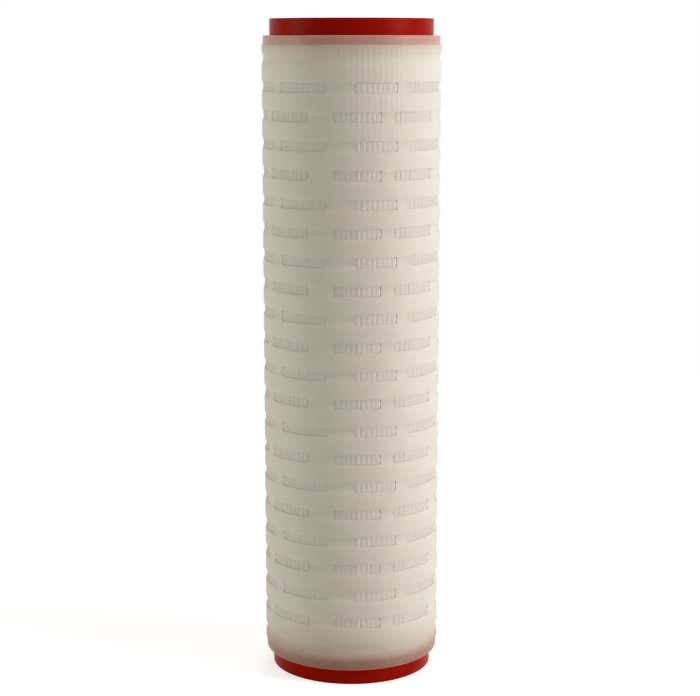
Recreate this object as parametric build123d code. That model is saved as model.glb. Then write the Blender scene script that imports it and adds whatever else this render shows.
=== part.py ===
from build123d import *
import os
from math import cos, floor, pi, radians, sin

# A pleated filter cartridge, open at both ends. A slotted cage of natural polypropylene
# holds a pleated pack of three sheets round a slotted core. An end cap is fused to each
# end, and a flat silicone gasket is bonded to each cap.
# Lengths are in millimetres and angles in degrees. Z runs up the axis from the lower
# gasket's face at Z = 0. The front is -Y, and angles round the axis are from the front,
# growing towards +X.

# Whole cartridge
overall_length = 254.0
weld_gap = 0.02

# Cage: rings that stand proud of the grooves between them
cage_ring_radius = 34.3
cage_groove_depth = 0.6
cage_wall = 1.5
groove_pitch = 10.7
groove_height = 3.6
least_end_ring_height = 2.8

# Windows of the cage: each group has a wide bar, a window, a narrow bar and a window
window_groups_per_row = 4
wide_bar_angle = 17.6
narrow_bar_angle = 9.4
odd_row_wide_bar_at = -7.2
odd_row_narrow_bar_at = 34.6
even_row_wide_bar_at = -20.0
even_row_narrow_bar_at = 23.6

# Core: a tube with staggered upright slots
core_outer_radius = 17.5
core_wall = 3.0
core_slot_rows = 9
core_slots_per_row = 6
core_slot_width = 7.0
core_rib_height = 4.4
core_end_band = 7.0

# End caps: a flange, set back from the cage's rings, and a collar that enters the cage
cap_set_back = 0.45
cap_flange_thickness = 3.3
cap_edge_chamfer = 0.4
cap_lip_in_core = 0.7
cap_collar_height = 3.2

# Flat gaskets: a step shows on the cap outside the gasket and inside its hole
gasket_thickness = 6.3
gasket_outer_step = 2.55
gasket_bore_step = 1.2

# Pleated pack: two drainage sheets with the filter medium between them
drainage_sheet_thickness = 0.16
filter_medium_thickness = 0.15
pleat_fold_gap = 0.10
pack_clearance = 0.12
pack_to_cage_clearance = 0.3

# Worked out from the sizes above
cage_groove_radius = cage_ring_radius - cage_groove_depth
cage_inner_radius = cage_groove_radius - cage_wall
core_bore_radius = core_outer_radius - core_wall
cap_flange_radius = cage_ring_radius - cap_set_back
cap_bore_radius = core_bore_radius - cap_lip_in_core
gasket_outer_radius = cap_flange_radius - gasket_outer_step
gasket_bore_radius = cap_bore_radius + gasket_bore_step
cap_top = gasket_thickness + cap_flange_thickness
body_length = overall_length - 2 * cap_top
pack_bottom = cap_top + cap_collar_height
pack_length = overall_length - 2 * pack_bottom
pack_thickness = 2 * drainage_sheet_thickness + filter_medium_thickness
pack_inner_radius = core_outer_radius + pack_clearance
pack_outer_radius = cage_inner_radius - pack_to_cage_clearance
pleat_count = floor(pi * pack_inner_radius / (pack_thickness + pleat_fold_gap))


def ring(outer_radius, bore_radius, height):
    """A flat washer that stands on Z = 0."""
    bottom = Align.CENTER, Align.CENTER, Align.MIN
    return Cylinder(outer_radius, height, align=bottom) - Cylinder(bore_radius, height, align=bottom)


def other_end(shape):
    """The same piece at the upper end of the cartridge."""
    return mirror(shape, about=Plane.XY.offset(overall_length / 2))


def gasket():
    """Washer cut from flat silicone sheet, so that its edges are square."""
    return ring(gasket_outer_radius, gasket_bore_radius, gasket_thickness)


def end_cap():
    """Flange with a bore, and the collar of melted plastic between the core and the cage."""
    flange = ring(cap_flange_radius, cap_bore_radius, cap_flange_thickness)
    rim = flange.edges().filter_by(GeomType.CIRCLE).sort_by(SortBy.RADIUS)[-2:]
    flange = chamfer(rim.sort_by(Axis.Z)[0], cap_edge_chamfer)
    collar = ring(
        cage_inner_radius - weld_gap,
        core_outer_radius + weld_gap,
        cap_flange_thickness + cap_collar_height,
    )
    return Pos(0, 0, gasket_thickness) * (flange + collar)


def groove_centres():
    """Heights of the grooves, as many as fit, spread evenly about the middle of the cage."""
    room = body_length - 2 * least_end_ring_height - groove_height
    count = floor(room / groove_pitch) + 1
    first = overall_length / 2 - groove_pitch * (count - 1) / 2
    return [first + groove_pitch * row for row in range(count)]


def sector(from_angle, to_angle, height):
    """A wedge between two angles from the front, wide enough to cut through the cage."""
    reach = 2 * cage_ring_radius
    edges = [radians(angle) for angle in (from_angle, to_angle)]
    corners = [(reach * sin(angle), -reach * cos(angle)) for angle in edges]
    return extrude(make_face(Polyline((0, 0), *corners, close=True)), height)


def window_wedges(wide_bar_at, narrow_bar_at):
    """All wedges of one row, each from the edge of one bar to the edge of the next."""
    half_wide, half_narrow = wide_bar_angle / 2, narrow_bar_angle / 2
    group_angle = 360 / window_groups_per_row
    spans = [
        (wide_bar_at + half_wide, narrow_bar_at - half_narrow),
        (narrow_bar_at + half_narrow, wide_bar_at + group_angle - half_wide),
    ]
    wedges = [sector(a, b, groove_height) for a, b in spans]
    return [
        Rot(0, 0, group_angle * group) * wedge
        for group in range(window_groups_per_row)
        for wedge in wedges
    ]


def outer_cage():
    """Moulded cage: a grooved tube, with windows in every groove but the first and the last."""
    outline = [(cage_inner_radius, cap_top), (cage_ring_radius, cap_top)]
    half = groove_height / 2
    centres = groove_centres()
    for z in centres:
        outline += [
            (cage_ring_radius, z - half),
            (cage_groove_radius, z - half),
            (cage_groove_radius, z + half),
            (cage_ring_radius, z + half),
        ]
    cage_top = cap_top + body_length
    outline += [(cage_ring_radius, cage_top), (cage_inner_radius, cage_top)]
    tube = revolve(make_face(Plane.XZ * Polyline(*outline, close=True)), Axis.Z)
    odd = window_wedges(odd_row_wide_bar_at, odd_row_narrow_bar_at)
    even = window_wedges(even_row_wide_bar_at, even_row_narrow_bar_at)
    cutters = []
    for row, z in enumerate(reversed(centres[1:-1])):
        wedges = even if row % 2 else odd
        cutters += [Pos(0, 0, z - half) * wedge for wedge in wedges]
    return tube - cutters


def inner_core():
    """Moulded core: a tube with rows of upright slots, each row turned half a step."""
    tube = ring(core_outer_radius, core_bore_radius, body_length)
    slotted = body_length - 2 * core_end_band
    slot_height = (slotted + core_rib_height) / core_slot_rows - core_rib_height
    step = 360 / core_slots_per_row
    slot = Pos(core_outer_radius, 0, 0) * Box(
        3 * core_wall,
        core_slot_width,
        slot_height,
        align=(Align.CENTER, Align.CENTER, Align.MIN),
    )
    slots = [
        Pos(0, 0, core_end_band + row * (slot_height + core_rib_height))
        * Rot(0, 0, step * (place + row % 2 / 2))
        * slot
        for row in range(core_slot_rows)
        for place in range(core_slots_per_row)
    ]
    return Pos(0, 0, cap_top) * (tube - slots)


def pleated_outline(depth):
    """Closed zigzag at a depth into the pack, from 0 on the core's side to its full thickness.

    Each pleat has a narrow flat at its crest and at its root, as tight folds do. A crest
    flat is wider the further out its sheet lies, and a root flat the further in.
    """
    crest_half = pleat_fold_gap / 2 + depth
    root_half = pleat_fold_gap / 2 + pack_thickness - depth
    crest_radius = pack_outer_radius - pack_thickness + depth
    root_radius = pack_inner_radius + depth
    half_step = pi / pleat_count
    points = []
    for pleat in range(pleat_count):
        crest_at = 2 * half_step * pleat
        for angle, radius, half in (
            (crest_at, crest_radius, crest_half),
            (crest_at + half_step, root_radius, root_half),
        ):
            for side in (-half, half):
                x = radius * cos(angle) - side * sin(angle)
                y = radius * sin(angle) + side * cos(angle)
                points.append((x, y))
    return make_face(Polyline(*points, close=True))


def pleated_sheet(inner_depth, thickness):
    """One sheet of the pack, folded round the core and welded into a closed tube."""
    section = pleated_outline(inner_depth + thickness) - pleated_outline(inner_depth)
    return Pos(0, 0, pack_bottom) * extrude(section, pack_length)


def main():
    os.makedirs("parts", exist_ok=True)
    medium_depth = drainage_sheet_thickness
    upstream_depth = drainage_sheet_thickness + filter_medium_thickness
    pieces = {
        "lower_gasket": gasket(),
        "upper_gasket": other_end(gasket()),
        "lower_end_cap": end_cap(),
        "upper_end_cap": other_end(end_cap()),
        "outer_cage": outer_cage(),
        "inner_core": inner_core(),
        "downstream_drainage_sheet": pleated_sheet(0, drainage_sheet_thickness),
        "filter_medium": pleated_sheet(medium_depth, filter_medium_thickness),
        "upstream_drainage_sheet": pleated_sheet(upstream_depth, drainage_sheet_thickness),
    }
    for name, shape in pieces.items():
        export_step(shape, f"parts/{name}.step")


main()
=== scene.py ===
import bpy
import numpy as np
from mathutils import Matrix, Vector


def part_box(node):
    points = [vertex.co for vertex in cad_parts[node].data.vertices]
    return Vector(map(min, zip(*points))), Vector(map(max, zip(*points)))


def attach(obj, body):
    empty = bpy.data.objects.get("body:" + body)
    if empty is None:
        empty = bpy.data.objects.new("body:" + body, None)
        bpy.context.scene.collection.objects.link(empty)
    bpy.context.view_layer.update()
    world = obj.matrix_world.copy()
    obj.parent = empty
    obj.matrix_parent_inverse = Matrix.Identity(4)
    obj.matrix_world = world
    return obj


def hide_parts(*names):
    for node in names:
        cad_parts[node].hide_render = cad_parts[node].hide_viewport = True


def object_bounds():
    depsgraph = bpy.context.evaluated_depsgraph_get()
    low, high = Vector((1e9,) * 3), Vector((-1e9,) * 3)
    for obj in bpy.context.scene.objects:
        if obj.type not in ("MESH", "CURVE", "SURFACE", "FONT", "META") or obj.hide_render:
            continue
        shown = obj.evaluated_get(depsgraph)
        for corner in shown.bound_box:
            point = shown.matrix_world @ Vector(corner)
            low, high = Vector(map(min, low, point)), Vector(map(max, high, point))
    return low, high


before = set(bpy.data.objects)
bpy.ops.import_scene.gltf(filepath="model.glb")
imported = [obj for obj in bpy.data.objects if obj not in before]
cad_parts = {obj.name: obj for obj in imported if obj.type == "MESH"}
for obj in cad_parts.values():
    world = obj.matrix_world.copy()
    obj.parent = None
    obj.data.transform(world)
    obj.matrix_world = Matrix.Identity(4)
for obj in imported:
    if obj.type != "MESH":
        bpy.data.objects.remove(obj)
cad_low, cad_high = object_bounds()
whole_height = cad_low.z + cad_high.z
mm = 0.001               # in metres, as all lengths are


# Inner core. The real piece is an injection-moulded tube of natural polypropylene with
# staggered upright slots, which the pleats lean on. It is welded between the two end caps.

def slotted_tube(outside, inside, is_open):
    """Vertices and quads of a tube with windows, all on one grid of angle by height.

    Each skin is given by its radii and heights along the tube and its angles round it. A point
    at angle a from the front and height z lies at (r sin a, -r cos a, z). is_open[i, j] leaves
    out the cell between angles i and i + 1 and heights j and j + 1, and a wall closes each
    side of it.
    """
    columns, lines = is_open.shape[0], is_open.shape[1] + 1
    skins = []
    for radii, heights, angles in (outside, inside):
        around = np.stack([np.sin(angles), -np.cos(angles)], axis=-1)
        flat = around[:, None, :] * np.broadcast_to(radii, lines)[None, :, None]
        upright = np.broadcast_to(heights[None, :, None], (columns, lines, 1))
        skins.append(np.concatenate([flat, upright], axis=-1).reshape(-1, 3))

    def outer(i, j):
        return (i % columns) * lines + j

    def inner(i, j):
        return outer(i, j) + columns * lines

    i, j = np.nonzero(~is_open)
    quads = [
        [outer(i, j), outer(i + 1, j), outer(i + 1, j + 1), outer(i, j + 1)],
        [inner(i, j), inner(i, j + 1), inner(i + 1, j + 1), inner(i + 1, j)],
    ]
    solid = np.pad(~is_open, ((0, 0), (1, 1)))
    i, j = np.nonzero(solid[:, 1:] & ~solid[:, :-1])
    quads.append([outer(i, j), inner(i, j), inner(i + 1, j), outer(i + 1, j)])
    i, j = np.nonzero(solid[:, :-1] & ~solid[:, 1:])
    quads.append([outer(i, j), outer(i + 1, j), inner(i + 1, j), inner(i, j)])
    before = np.roll(is_open, 1, axis=0)
    i, j = np.nonzero(~is_open & before)
    quads.append([outer(i, j), outer(i, j + 1), inner(i, j + 1), inner(i, j)])
    i, j = np.nonzero(is_open & ~before)
    quads.append([outer(i, j), inner(i, j), inner(i, j + 1), outer(i, j + 1)])
    return np.concatenate(skins), np.concatenate([np.stack(four, axis=-1) for four in quads])


def piece_of(name, vertices, quads, material, crease=35):
    """A mesh object at the origin, shaded smooth but for the edges over crease degrees."""
    mesh = bpy.data.meshes.new(name)
    mesh.vertices.add(len(vertices))
    mesh.vertices.foreach_set("co", np.ascontiguousarray(vertices, np.float32).ravel())
    mesh.loops.add(quads.size)
    mesh.loops.foreach_set("vertex_index", np.ascontiguousarray(quads, np.int32).ravel())
    mesh.polygons.add(len(quads))
    mesh.polygons.foreach_set("loop_start", np.arange(0, quads.size, 4, dtype=np.int32))
    mesh.polygons.foreach_set("use_smooth", np.ones(len(quads), bool))
    mesh.update(calc_edges=True)
    mesh.set_sharp_from_angle(angle=np.radians(crease))
    mesh.materials.append(material)
    piece = bpy.data.objects.new(name, mesh)
    bpy.context.scene.collection.objects.link(piece)
    return piece


def linear(colour):
    """An sRGB hex colour as linear RGBA: a channel c over 0.04 is ((c + 0.055) / 1.055) ^ 2.4."""
    channels = [int(colour[i:i + 2], 16) / 255 for i in (1, 3, 5)]
    return [c / 12.92 if c <= 0.04045 else ((c + 0.055) / 1.055) ** 2.4 for c in channels] + [1]


def add(material, kind, sockets, **settings):
    """One node in a material, with its settings, and each named socket linked or set."""
    tree = material.node_tree
    node = tree.nodes.new("ShaderNode" + kind)
    for name, value in settings.items():
        setattr(node, name, value)
    for name, value in sockets.items():
        if isinstance(value, bpy.types.NodeSocket):
            tree.links.new(value, node.inputs[name])
        else:
            node.inputs[name].default_value = value
    return node


def bare(name):
    """A material with nothing in its node tree but its Object coordinates."""
    material = bpy.data.materials.new(name)
    material.use_nodes = True
    material.node_tree.nodes.clear()
    return material, add(material, "TexCoord", {}).outputs["Object"]


# Painted red light: the glow that each end's red gasket sheds into the milky plastic, as a tint
# at each distance from that end, in millimetres. The lower end's tints are darker. The edges of
# the tints wander by melt_run, in waves of melt_wave.
lower_painted_glow = (
    (6.3, "#FFA69C"), (7.0, "#BE9589"), (9.6, "#C8A69E"), (11.2, "#DABFB9"), (12.3, "#E4D1CE"),
    (14.4, "#EEE7E4"), (17.0, "#F5F2EF"), (20.0, "#FAF9F7"), (25.0, "#FFFFFF"),
)
upper_painted_glow = (
    (6.3, "#FFBDB3"), (7.0, "#E9B5B2"), (9.4, "#E8B9B4"), (10.0, "#F0E4E0"), (13.0, "#F8F5F1"),
    (15.5, "#FFFFFF"),
)
melt_wave, melt_run, noise_middle = 5 * mm, 1.2 * mm, 0.5


def painted_gasket_glow(material, place, colour):
    """A colour times painted red light: the glow of the red gasket beside each end in the plastic.

    The glow is a ramp along the height, which a soft noise moves up and down, as melted
    plastic runs. Its stops are the tints of both ends, and white lies between them.
    """
    height = add(material, "SeparateXYZ", {"Vector": place}).outputs["Z"]
    waves = add(material, "TexNoise", {"Vector": place, "Scale": 1 / melt_wave, "Detail": 1.0})
    runs = add(material, "Math", {0: waves.outputs[0], 1: noise_middle}, operation="SUBTRACT")
    wavy = add(material, "Math", {
        0: runs.outputs[0], 1: melt_run, 2: height,
    }, operation="MULTIPLY_ADD")
    share = add(material, "Math", {0: wavy.outputs[0], 1: whole_height}, operation="DIVIDE")
    # A ramp of painted red light from the gaskets, darker at the lower end.
    cast = add(material, "ValToRGB", {"Fac": share.outputs[0]})
    stops = cast.color_ramp.elements
    stops.remove(stops[0])
    for end, tints in ((0.0, lower_painted_glow), (1.0, upper_painted_glow)):
        for distance, tint in tints:
            stop = stops.new(abs(end - distance * mm / whole_height))
            stop.color = linear(tint)
    return add(material, "Mix", {
        "Factor": 1.0, "A": colour, "B": cast.outputs[0],
    }, data_type="RGBA", blend_type="MULTIPLY").outputs[2]


pleats = 97
flow_cloud, orange_peel, stripe_wander = 12 * mm, 1.6 * mm, 15 * mm
peel_height, stripe_height = 0.05 * mm, 0.026 * mm
faint_below, plain_above = 0.75 * whole_height, 0.95 * whole_height
milky_spread, milky_depth = (1.0, 0.97, 0.92), 1.3 * mm


def moulded_natural_polypropylene(name, pale, cloudy):
    """Natural polypropylene from a polished mould: milky, lit through, with a satin skin.

    Flow clouds vary its whiteness, and a fine orange peel breaks its gloss. The pleats that
    lean on it show through as faint upright stripes, plainest near the upper end.
    """
    material, place = bare(name)
    clouds = add(material, "TexNoise", {"Vector": place, "Scale": 1 / flow_cloud, "Detail": 2.0})
    colour = add(material, "Mix", {
        "Factor": clouds.outputs[0], "A": linear(pale), "B": linear(cloudy),
    }, data_type="RGBA")
    peel = add(material, "TexNoise", {"Vector": place, "Scale": 1 / orange_peel, "Detail": 2.0})
    bump = add(material, "Bump", {
        "Height": peel.outputs[0], "Strength": 0.15, "Distance": peel_height,
    })
    along = add(material, "SeparateXYZ", {"Vector": place}).outputs
    angle = add(material, "Math", {0: along["X"], 1: along["Y"]}, operation="ARCTAN2")
    wander = add(material, "TexNoise", {"Vector": place, "Scale": 1 / stripe_wander, "Detail": 0.0})
    turns = add(material, "Math", {
        0: angle.outputs[0], 1: float(pleats), 2: wander.outputs[0],
    }, operation="MULTIPLY_ADD")
    stripes = add(material, "Math", {0: turns.outputs[0]}, operation="COSINE")
    contact = add(material, "MapRange", {
        "Value": along["Z"], "From Min": faint_below, "From Max": plain_above, "To Min": 0.15,
    })
    bump = add(material, "Bump", {
        "Height": stripes.outputs[0], "Strength": contact.outputs[0], "Distance": stripe_height,
        "Normal": bump.outputs[0],
    }, invert=True)
    plastic = add(material, "BsdfPrincipled", {
        # The base colour carries painted red light from the gasket near each end.
        "Base Color": painted_gasket_glow(material, place, colour.outputs[2]),
        "Normal": bump.outputs[0],
        "Roughness": 0.5,
        "IOR": 1.49,
        "Specular IOR Level": 0.08,
        "Subsurface Weight": 1.0,
        "Subsurface Radius": milky_spread,
        "Subsurface Scale": milky_depth,
    })
    add(material, "OutputMaterial", {"Surface": plastic.outputs[0]})
    return material


core_low, core_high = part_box("inner_core")
core_radius = core_high.x
core_wall = 3.0 * mm
core_slots, core_slot_rows = 6, 9
core_slot_width, core_rib, core_end_band = 7.0 * mm, 4.4 * mm, 7.0 * mm

half_slot = core_slot_width / 2 / core_radius
half_step = np.pi / core_slots
edge_angles = np.sort(np.concatenate([
    half_step * place + np.array([-half_slot, half_slot]) for place in range(2 * core_slots)
]) % (2 * np.pi))
between_edges = 4
core_angles = np.concatenate([
    np.linspace(start, end, between_edges, endpoint=False)
    for start, end in zip(edge_angles, np.append(edge_angles[1:], edge_angles[0] + 2 * np.pi))
])
slotted_length = core_high.z - core_low.z - 2 * core_end_band
slot_height = (slotted_length + core_rib) / core_slot_rows - core_rib
slot_starts = core_low.z + core_end_band + np.arange(core_slot_rows) * (slot_height + core_rib)
core_heights = np.sort(np.concatenate([
    [core_low.z, core_high.z], slot_starts, slot_starts + slot_height,
]))
middles = (core_angles + np.append(core_angles[1:], core_angles[0] + 2 * np.pi)) / 2
core_open = np.zeros((len(core_angles), len(core_heights) - 1), bool)
# Along the height, each odd cell holds a row of slots, and ribs and end bands lie between.
for row in range(core_slot_rows):
    from_slot = (middles - np.pi / 2 - half_step * (row % 2)) % (2 * half_step)
    core_open[:, 1 + 2 * row] = np.minimum(from_slot, 2 * half_step - from_slot) < half_slot
core = piece_of("core_tube", *slotted_tube(
    (core_radius, core_heights, core_angles),
    (core_radius - core_wall, core_heights, core_angles),
    core_open,
), moulded_natural_polypropylene("core_moulded_polypropylene", "#F0EBDD", "#EAE5D6"))
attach(core, "root")
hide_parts("inner_core")


# Pleated pack. Two spunbonded drainage fleeces with the filter membrane between them are
# folded together into upright pleats, wrapped round the core and seamed into a tube.

pack_low, pack_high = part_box("upstream_drainage_sheet")
pack_radius, pack_bore = 31.9 * mm, 17.62 * mm
fleece, membrane = 0.16 * mm, 0.15 * mm
fold_gap, crest_loop, crest_flat = 0.10 * mm, 0.44 * mm, 0.3
pack_thickness = 2 * fleece + membrane
wave_seed, wave_spread = 7, 0.35
wave_lengths = np.array([47.0, 23.0, 13.0]) * mm
wave_sizes = np.array([0.04, 0.03, 0.03]) * mm
wave_random = np.random.default_rng(wave_seed)
wave_phases = wave_random.uniform(0, 2 * np.pi, (pleats, len(wave_sizes)))
wave_shares = wave_random.normal(1.0, wave_spread, (pleats, len(wave_sizes)))

cage_low, cage_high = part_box("outer_cage")
grooves, groove_pitch, window_height = 22, 10.7 * mm, 3.6 * mm
groove_steps = np.arange(grooves) - (grooves - 1) / 2
groove_centres = (cage_low.z + cage_high.z) / 2 + groove_pitch * groove_steps
wide_bar, narrow_bar = np.radians(17.6), np.radians(9.4)
odd_bars = np.radians([-7.2, 34.6])
even_bars = np.radians([-20.0, 23.6])
quarter = np.pi / 2
press_out, press_edge, rounding = 2.29 * mm, 0.04 * mm, 0.001 * mm
pressed_rise, pressed_overlap = 0.235, 0.2 * mm


def in_windows(angles, row):
    """Whether each angle lies in a window of one row, and its angles to the bars at each side.

    Rows with odd_bars and even_bars take turns, from the groove next to the uppermost one down.
    """
    bars = (odd_bars if (grooves - 1 - row) % 2 else even_bars)[:, None]
    half_bars = np.array([[wide_bar], [narrow_bar]]) / 2
    past = ((angles - bars - half_bars) % quarter).min(axis=0)
    short = ((bars - half_bars - angles) % quarter).min(axis=0)
    return past + short < quarter / 2, past, short


def crests(heights):
    """How each pleat's crest lies at each height: its shift, widening, flattening and press.

    Three sine waves make every crest wander. In a window the crests also spread evenly from bar
    to bar, fill the window with a little overlap, and press out flattened. The press is full to
    within press_edge of the window's edge, and none at the edge.
    """
    turns = 2 * np.pi * heights[None, :, None] / wave_lengths + wave_phases[:, None, :]
    shift = (np.sin(turns) * wave_sizes * wave_shares[:, None, :]).sum(axis=-1)
    widen, press = np.ones_like(shift), np.zeros_like(shift)
    pitch, half_crest = 2 * np.pi / pleats, crest_loop + pack_thickness
    pressed_radius, half_press = pack_radius + press_out, window_height / 2
    for row in range(1, grooves - 1):
        open_here, past, short = in_windows(pitch * np.arange(pleats), row)
        before, after = past // pitch, short // pitch
        half = ((past + short) / (before + after + 1) + pressed_overlap / pressed_radius) / 2
        step = (past + short - 2 * half) / np.maximum(before + after, 1)
        spread = np.where(open_here, half + step * before - past, 0.0)
        wide = np.where(open_here, half * pressed_radius / half_crest, 1.0)
        away = np.abs(heights - groove_centres[row])
        here = away < half_press + rounding
        shift += pressed_radius * spread[:, None] * here
        widen = np.where(here, wide[:, None], widen)
        press += open_here[:, None] * np.clip((half_press - away) / press_edge, 0, 1)
    return shift, widen, 1 - (1 - pressed_rise) * press, press_out * press


def pleated_skin(depth, heights):
    """One face of the pack at a depth from the core's side, as points by pleat, place and height.

    Crests and roots are arcs about centres that all depths share, so the sheets nest. A crest's
    arc is loop + depth to each side and flat * loop + depth high, and a root's radius is
    gap / 2 + thickness - depth. Straight limbs join them. The crests move and the roots stay,
    so the limbs slant after their crest.
    """
    crest_bend = np.radians([-90.0, -30.0, 30.0, 90.0])
    root_bend = np.radians([-60.0, 60.0])
    crest_centre = pack_radius - pack_thickness - crest_flat * crest_loop
    root_centre = pack_bore + pack_thickness + fold_gap / 2
    root = fold_gap / 2 + pack_thickness - depth
    shift, widen, flatten, press = (values[:, None, :] for values in crests(heights))
    rise = (crest_flat * crest_loop + depth) * np.cos(crest_bend)[None, :, None] * flatten
    width = (crest_loop + depth) * np.sin(crest_bend)[None, :, None] * widen
    root_shape = (pleats, len(root_bend), len(heights))
    root_out = (root_centre - root * np.cos(root_bend))[None, :, None]
    root_side = (root * np.sin(root_bend))[None, :, None]
    crest_out, crest_side = crest_centre + press + rise, width + shift
    out = np.concatenate([crest_out, np.broadcast_to(root_out, root_shape)], axis=1)
    side = np.concatenate([crest_side, np.broadcast_to(root_side, root_shape)], axis=1)
    steps = np.repeat([0.0, 0.5], (len(crest_bend), len(root_bend)))
    across = 2 * np.pi / pleats * (np.arange(pleats)[:, None] + steps)[:, :, None]
    x = out * np.sin(across) + side * np.cos(across)
    y = -out * np.cos(across) + side * np.sin(across)
    z = np.broadcast_to(heights[None, None, :], x.shape)
    return np.stack([x, y, z], axis=-1)


def pleated_sheet(inner_depth, outer_depth):
    """Vertices and quads of one sheet: two skins and the strips that close its two ends."""
    half = window_height / 2
    from_centre = np.array([-half, press_edge - half, half - press_edge, half])
    heights = np.concatenate([
        [pack_low.z, groove_centres[0]],
        (groove_centres[1:-1, None] + from_centre[None, :]).ravel(),
        [groove_centres[-1], pack_high.z],
    ])
    skins = [
        pleated_skin(depth, heights).reshape(-1, len(heights), 3)
        for depth in (outer_depth, inner_depth)
    ]
    places, lines = skins[0].shape[:2]
    inner, top = places * lines, lines - 1
    start = np.arange(places) * lines
    after = np.roll(start, -1)
    here, there = (np.add.outer(line, np.arange(top)).ravel() for line in (start, after))
    quads = [
        [here, there, there + 1, here + 1],
        [inner + here, inner + here + 1, inner + there + 1, inner + there],
        [start, inner + start, inner + after, after],
        [start + top, after + top, inner + after + top, inner + start + top],
    ]
    quads = np.concatenate([np.stack(four, axis=-1) for four in quads])
    return np.concatenate(skins).reshape(-1, 3), quads


fibre_grain, fibre_height = 0.5 * mm, 0.05 * mm


def spunbonded_fleece(name):
    """White polypropylene fleece: soft and matt, with a fibrous grain.

    Its fibres are some 0.02 mm thick. They are drawn as a grain of fibre_grain, which shows.
    """
    material, place = bare(name)
    fibres = add(material, "TexNoise", {"Vector": place, "Scale": 1 / fibre_grain, "Detail": 4.0})
    colour = add(material, "Mix", {
        "Factor": fibres.outputs[0], "A": linear("#E8E2D5"), "B": linear("#E1DACB"),
    }, data_type="RGBA")
    bump = add(material, "Bump", {
        "Height": fibres.outputs[0], "Strength": 0.4, "Distance": fibre_height,
    })
    cloth = add(material, "BsdfPrincipled", {
        "Base Color": colour.outputs[2],
        "Normal": bump.outputs[0],
        "Roughness": 0.85,
        "Sheen Weight": 0.2,
    })
    add(material, "OutputMaterial", {"Surface": cloth.outputs[0]})
    return material


membrane_grain, grain_height = 0.3 * mm, 0.02 * mm


def cast_membrane(name):
    """White cast filter membrane: smooth, even and matt.

    Its pores are far too fine to show, and a faint grain of membrane_grain stands for them.
    """
    material, place = bare(name)
    grain = add(material, "TexNoise", {
        "Vector": place, "Scale": 1 / membrane_grain, "Detail": 2.0,
    })
    bump = add(material, "Bump", {
        "Height": grain.outputs[0], "Strength": 0.1, "Distance": grain_height,
    })
    skin = add(material, "BsdfPrincipled", {
        "Base Color": linear("#FDFCFA"), "Normal": bump.outputs[0], "Roughness": 0.6,
    })
    add(material, "OutputMaterial", {"Surface": skin.outputs[0]})
    return material


drainage_fleece = spunbonded_fleece("drainage_spunbonded_fleece")
filter_membrane = cast_membrane("cast_filter_membrane")
inner_depth = 0.0
for name, node, slot_name, thickness, material in (
    ("fleece_downstream", "downstream_drainage_sheet", "drainage_fleece", fleece, drainage_fleece),
    ("membrane_pleated", "filter_medium", "filter_membrane", membrane, filter_membrane),
    ("fleece_upstream", "upstream_drainage_sheet", "drainage_fleece", fleece, drainage_fleece),
):
    outer_depth = inner_depth + thickness
    sheet = piece_of(name, *pleated_sheet(inner_depth, outer_depth), material, crease=80)
    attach(sheet, "root")
    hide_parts(node)
    inner_depth = outer_depth


# Outer cage. One moulding of natural polypropylene: a tube with grooves round it, and rows of
# windows in the grooves. It slides over the pleats, and its ends are melted into the caps.

groove_depth, cage_wall = 0.6 * mm, 1.5 * mm
ring_radius = cage_high.x
groove_radius = ring_radius - groove_depth
cage_bore = groove_radius - cage_wall
groove_flat, groove_slope = 0.8 * mm, 2.4 * mm

bar_edges = np.sort([
    (centre + side * width / 2) % quarter
    for bars in (odd_bars, even_bars)
    for centre, width in zip(bars, (wide_bar, narrow_bar))
    for side in (-1, 1)
])
widest_column = np.radians(3.0)
next_edges = np.append(bar_edges[1:], bar_edges[0] + quarter)
column_parts = np.ceil((next_edges - bar_edges) / widest_column).astype(int)
one_quarter = np.concatenate([
    np.linspace(start, end, parts, endpoint=False)
    for start, end, parts in zip(bar_edges, next_edges, column_parts)
])
cage_angles = np.concatenate([one_quarter + quarter * turn for turn in range(4)])

# The lines round the cage: some on each flank of a groove, and one at each edge of its windows.
slope_share = np.array([0, 0.15, 0.35, 0.55, 0.75, 1.0])
slope_out = groove_flat / 2 + groove_slope * slope_share
slope_out = np.sort(np.append(slope_out, window_height / 2))
from_groove = np.concatenate([-slope_out[::-1], slope_out])
groove_heights = (groove_centres[:, None] + from_groove[None, :]).ravel()


def cage_radius(heights):
    """Radius of the cage's outside: a smooth step, 3 t t - 2 t t t, leads from groove to ring."""
    away = np.abs(heights[:, None] - groove_centres[None, :]).min(axis=1)
    t = np.clip((away - groove_flat / 2) / groove_slope, 0, 1)
    return groove_radius + (ring_radius - groove_radius) * t * t * (3 - 2 * t)


# At each end, the outside is melted over in a quarter of an ellipse, which is taller below.
end_turn = np.radians([0, 22.5, 45, 67.5, 90])
lower_melt, upper_melt, melt_step = 2.2 * mm, 0.6 * mm, 0.45 * mm
lower_end = cage_low.z + lower_melt * (1 - np.cos(end_turn))
upper_end = (cage_high.z - upper_melt * (1 - np.cos(end_turn)))[::-1]
end_radii = ring_radius - melt_step * (1 - np.sin(end_turn))
cage_heights = np.concatenate([lower_end, groove_heights, upper_end])
cage_radii = np.concatenate([end_radii, cage_radius(groove_heights), end_radii[::-1]])

cage_middles = (cage_angles + np.append(cage_angles[1:], cage_angles[0] + 2 * np.pi)) / 2
line_middles = (cage_heights[1:] + cage_heights[:-1]) / 2
cage_open = np.zeros((len(cage_angles), len(cage_heights) - 1), bool)
for row in range(1, grooves - 1):
    in_window = np.abs(line_middles - groove_centres[row]) < window_height / 2
    cage_open[np.ix_(in_windows(cage_middles, row)[0], in_window)] = True

cage = piece_of("cage_moulding", *slotted_tube(
    (cage_radii, cage_heights, cage_angles),
    (cage_bore, cage_heights, cage_angles),
    cage_open,
), moulded_natural_polypropylene("cage_moulded_polypropylene", "#F0EBDD", "#EAE5D6"))
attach(cage, "root")
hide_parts("outer_cage")


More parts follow.
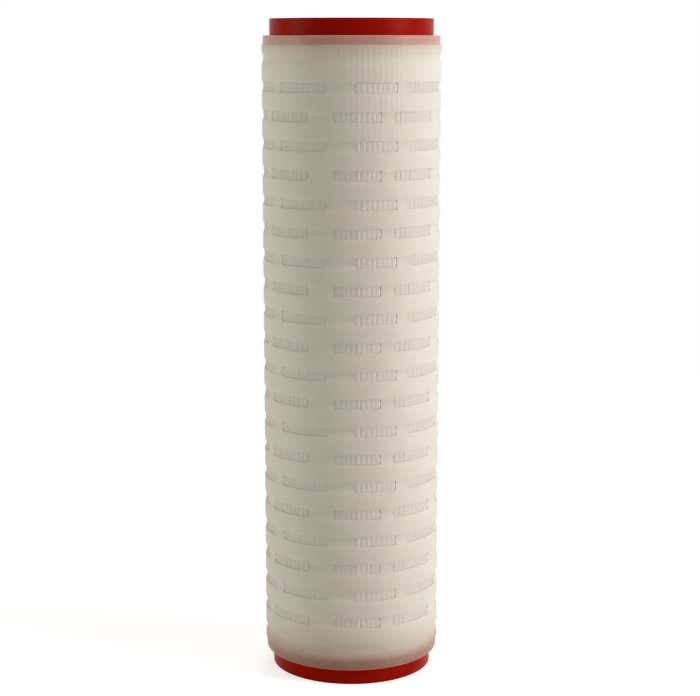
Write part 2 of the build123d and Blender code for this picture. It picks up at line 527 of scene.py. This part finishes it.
# End caps. Discs of natural polypropylene, melted onto the ends of the core, the pleats and
# the cage, so that their edges are soft and a collar of plastic fills the space inside.

def turned(profile, columns):
    """Vertices and quads of a closed outline of (radius, height) points, turned about the axis."""
    points = len(profile)
    angles = np.linspace(0, 2 * np.pi, columns, endpoint=False)
    around = np.stack([np.sin(angles), -np.cos(angles)], axis=-1)
    flat = around[:, None, :] * profile[None, :, :1]
    upright = np.broadcast_to(profile[None, :, 1:], (columns, points, 1))
    vertices = np.concatenate([flat, upright], axis=-1).reshape(-1, 3)
    i, j = np.meshgrid(np.arange(columns), np.arange(points), indexing="ij")
    here, after = i * points, (i + 1) % columns * points
    above = (j + 1) % points
    quads = np.stack([here + j, after + j, after + above, here + above], axis=-1)
    return vertices, quads.reshape(-1, 4)


round_points = 5


def soft_outline(corners):
    """An outline of (radius, height) corners, each rounded to its own size.

    A round of size s runs from s before its corner to s after it, on the quadratic curve whose
    control point is the corner.
    """
    points = np.array([corner[:2] for corner in corners])
    sizes = np.array([corner[2] for corner in corners])[:, None]
    back, ahead = np.roll(points, 1, axis=0) - points, np.roll(points, -1, axis=0) - points
    back *= sizes / np.linalg.norm(back, axis=1, keepdims=True)
    ahead *= sizes / np.linalg.norm(ahead, axis=1, keepdims=True)
    t = np.linspace(0, 1, round_points)[None, :, None]
    curve = points[:, None] + back[:, None] * (1 - t) ** 2 + ahead[:, None] * t ** 2
    return curve.reshape(-1, 2)


cap_low, cap_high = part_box("lower_end_cap")
cap_radius = cap_high.x
cap_bore, collar_bore, collar_radius = 13.8 * mm, 17.52 * mm, 32.18 * mm
flange_top = cage_low.z
lower_rim, upper_rim = 1.1 * mm, 0.6 * mm
free_edge, inner_corner, welded_edge = 0.2 * mm, 0.05 * mm, 0.02 * mm


def cap_outline(rim):
    """The cap's outline at the lower end, with the edge beside the gasket melted round by rim."""
    return soft_outline([
        (cap_bore, cap_low.z, free_edge),
        (cap_radius, cap_low.z, rim),
        (cap_radius, flange_top, welded_edge),
        (collar_radius, flange_top, inner_corner),
        (collar_radius, cap_high.z, free_edge),
        (collar_bore, cap_high.z, free_edge),
        (collar_bore, flange_top, inner_corner),
        (cap_bore, flange_top, free_edge),
    ])


melt_swirl, swirl_height = 6 * mm, 0.2 * mm


def melted_natural_polypropylene(name):
    """Natural polypropylene that has been melted and pressed: milky, with a soft wet gloss."""
    material, place = bare(name)
    swirls = add(material, "TexNoise", {
        "Vector": place, "Scale": 1 / melt_swirl, "Detail": 2.0, "Distortion": 0.6,
    })
    colour = add(material, "Mix", {
        "Factor": swirls.outputs[0], "A": linear("#F0EBDD"), "B": linear("#DDD6C8"),
    }, data_type="RGBA")
    bump = add(material, "Bump", {
        "Height": swirls.outputs[0], "Strength": 0.3, "Distance": swirl_height,
    })
    plastic = add(material, "BsdfPrincipled", {
        # The base colour carries painted red light from the gasket beside it.
        "Base Color": painted_gasket_glow(material, place, colour.outputs[2]),
        "Normal": bump.outputs[0],
        "Roughness": 0.35,
        "IOR": 1.49,
        "Specular IOR Level": 0.15,
        "Subsurface Weight": 1.0,
        "Subsurface Radius": milky_spread,
        "Subsurface Scale": milky_depth,
    })
    add(material, "OutputMaterial", {"Surface": plastic.outputs[0]})
    return material


cap_material = melted_natural_polypropylene("cap_melted_polypropylene")


def at_upper_end(outline):
    """The mirror image of an outline at the lower end, still turning the same way."""
    return (outline * [1, -1] + [0, whole_height])[::-1]


turned_columns = 144
for end, outline in (
    ("lower", cap_outline(lower_rim)),
    ("upper", at_upper_end(cap_outline(upper_rim))),
):
    cap = piece_of(end + "_cap", *turned(outline, turned_columns), cap_material)
    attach(cap, "root")
    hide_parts(end + "_end_cap")


# Gaskets. Flat rings cut from a sheet of red silicone rubber and bonded to the caps, with a
# smooth satin face and edges that the cutting has drawn slightly round.

gasket_low, gasket_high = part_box("lower_gasket")
gasket_bore = 15.0 * mm
cut_edge = 0.35 * mm
bonded_edge = cut_edge / 3
gasket_outline = soft_outline([
    (gasket_bore, gasket_low.z, cut_edge),
    (gasket_high.x, gasket_low.z, cut_edge),
    (gasket_high.x, gasket_high.z, bonded_edge),
    (gasket_bore, gasket_high.z, cut_edge),
])
cut_grain, cut_depth = 0.8 * mm, 0.05 * mm


def cut_silicone_rubber(name):
    """Red silicone rubber: deep, even colour and a satin skin.

    The blade leaves a fine grain, which is drawn as coarse as cut_grain so that it shows.
    """
    material, place = bare(name)
    grain = add(material, "TexNoise", {"Vector": place, "Scale": 1 / cut_grain, "Detail": 3.0})
    bump = add(material, "Bump", {
        "Height": grain.outputs[0], "Strength": 0.15, "Distance": cut_depth,
    })
    colour = add(material, "Mix", {
        "Factor": grain.outputs[0], "A": linear("#A61203"), "B": linear("#9C0F02"),
    }, data_type="RGBA")
    rubber = add(material, "BsdfPrincipled", {
        "Base Color": colour.outputs[2],
        "Normal": bump.outputs[0],
        "Roughness": 0.35,
        "IOR": 1.41,
        "Specular IOR Level": 0.05,
        "Specular Tint": (1.0, 1.0, 0.7, 1.0),
    })
    add(material, "OutputMaterial", {"Surface": rubber.outputs[0]})
    return material


gasket_material = cut_silicone_rubber("cut_red_silicone_rubber")
for end, outline in (("lower", gasket_outline), ("upper", at_upper_end(gasket_outline))):
    gasket = piece_of(end + "_seal", *turned(outline, turned_columns), gasket_material)
    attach(gasket, "root")
    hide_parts(end + "_gasket")


# Floor. A wide flat sheet of matt white paper under the cartridge.

def flat_sheet(half_width, parts):
    """Vertices and quads of a level square grid at the height of the lower gasket's face."""
    line = np.linspace(-half_width, half_width, parts + 1)
    x, y = np.meshgrid(line, line, indexing="ij")
    vertices = np.stack([x, y, np.full_like(x, cad_low.z)], axis=-1).reshape(-1, 3)
    i, j = np.meshgrid(np.arange(parts), np.arange(parts), indexing="ij")
    here = i * (parts + 1) + j
    quads = np.stack([here, here + parts + 1, here + parts + 2, here + 1], axis=-1)
    return vertices, quads.reshape(-1, 4)


def seen(owner):
    """1 for a ray from the camera, from gloss or through a clear part, and 0 for any other."""
    path = add(owner, "LightPath", {}).outputs
    share = 0.0
    for ray in ("Is Camera Ray", "Is Glossy Ray", "Is Transmission Ray"):
        share = add(owner, "Math", {0: share, 1: path[ray]}, operation="MAXIMUM").outputs[0]
    return share


def matt_white_paper(name, colour, lift):
    """Matt white paper. A lift that only the view, gloss and clear parts see makes it white."""
    material, _ = bare(name)
    paper = add(material, "BsdfDiffuse", {"Color": linear(colour), "Roughness": 0.0})
    glow = add(material, "Emission", {"Color": (1.0, 1.0, 1.0, 1.0), "Strength": lift})
    dark = add(material, "Emission", {"Strength": 0.0})
    gate = add(material, "MixShader", {0: seen(material), 1: dark.outputs[0], 2: glow.outputs[0]})
    both = add(material, "AddShader", {0: paper.outputs[0], 1: gate.outputs[0]})
    add(material, "OutputMaterial", {"Surface": both.outputs[0]})
    return material


floor_half_width, floor_parts = 0.6, 4
floor = piece_of(
    "studio_floor",
    *flat_sheet(floor_half_width, floor_parts),
    matt_white_paper("matt_white_paper", "#E8E8E8", lift=0.68),
)


# Light. Two softboxes at the right, one above the other, a weaker one at the left and one high
# behind, with a dim warm fill from all round. The view and reflections see a white room instead.

lamp_distance = 1.2
upright_box, square_box = (0.5, 0.9), (0.5, 0.5)


def softbox(name, azimuth, elevation, size, power, colour):
    """An area light at an azimuth from the front, growing towards +X, aimed at the cartridge."""
    light = bpy.data.lights.new(name, "AREA")
    light.shape = "RECTANGLE"
    light.size, light.size_y = size
    light.energy, light.color = power, colour
    lamp = bpy.data.objects.new(name, light)
    bpy.context.scene.collection.objects.link(lamp)
    a, e = np.radians([azimuth, elevation])
    away = np.array([np.sin(a) * np.cos(e), -np.cos(a) * np.cos(e), np.sin(e)])
    lamp.location = lamp_distance * away + [0, 0, whole_height / 2]
    lamp.rotation_euler = (np.pi / 2 - e, 0, a)
    return lamp


softbox("right_softbox", 70, 10, upright_box, 7.2, (0.98, 0.96, 1.0))
softbox("high_right_softbox", 70, 30, upright_box, 4.0, (1.0, 1.0, 1.0))
softbox("left_softbox", -80, 10, upright_box, 5.3, (1.0, 1.0, 0.95))
softbox("back_softbox", 180, 35, square_box, 2.6, (1.0, 1.0, 1.0))

world = bpy.data.worlds.new("studio")
bpy.context.scene.world = world
world.use_nodes = True
world.node_tree.nodes.clear()
fill = add(world, "Background", {"Color": (1.0, 0.92, 0.83, 1.0), "Strength": 0.16})
white = add(world, "Background", {"Color": (1.0, 1.0, 1.0, 1.0), "Strength": 1.0})
choice = add(world, "MixShader", {0: seen(world), 1: fill.outputs[0], 2: white.outputs[0]})
add(world, "OutputWorld", {"Surface": choice.outputs[0]})
bpy.context.scene.view_settings.view_transform = "Standard"

# Light goes many times from wall to wall between the pleats and in the milky plastic.
bpy.context.scene.cycles.diffuse_bounces = 16
bpy.context.scene.cycles.max_bounces = 24


# Camera. It stands level with the upper end and looks down a little, as in the photograph. Its
# place and its focal length in pixels are fitted to the outlines of the photograph's ends.

camera_data = bpy.data.cameras.new("camera")
camera = bpy.data.objects.new("camera", camera_data)
bpy.context.scene.collection.objects.link(camera)
bpy.context.scene.camera = camera
sensor, image_width, focal_pixels = 36.0, 700, 1771.0
camera_data.sensor_width = sensor
camera_data.lens = sensor * focal_pixels / image_width
to_left, in_front, below_top = 0.58 * mm, 684.5 * mm, 6.92 * mm
camera.location = (-to_left, -in_front, cad_high.z - below_top)
looks_down = np.radians(9.964)
camera.rotation_euler = (np.pi / 2 - looks_down, 0, 0)
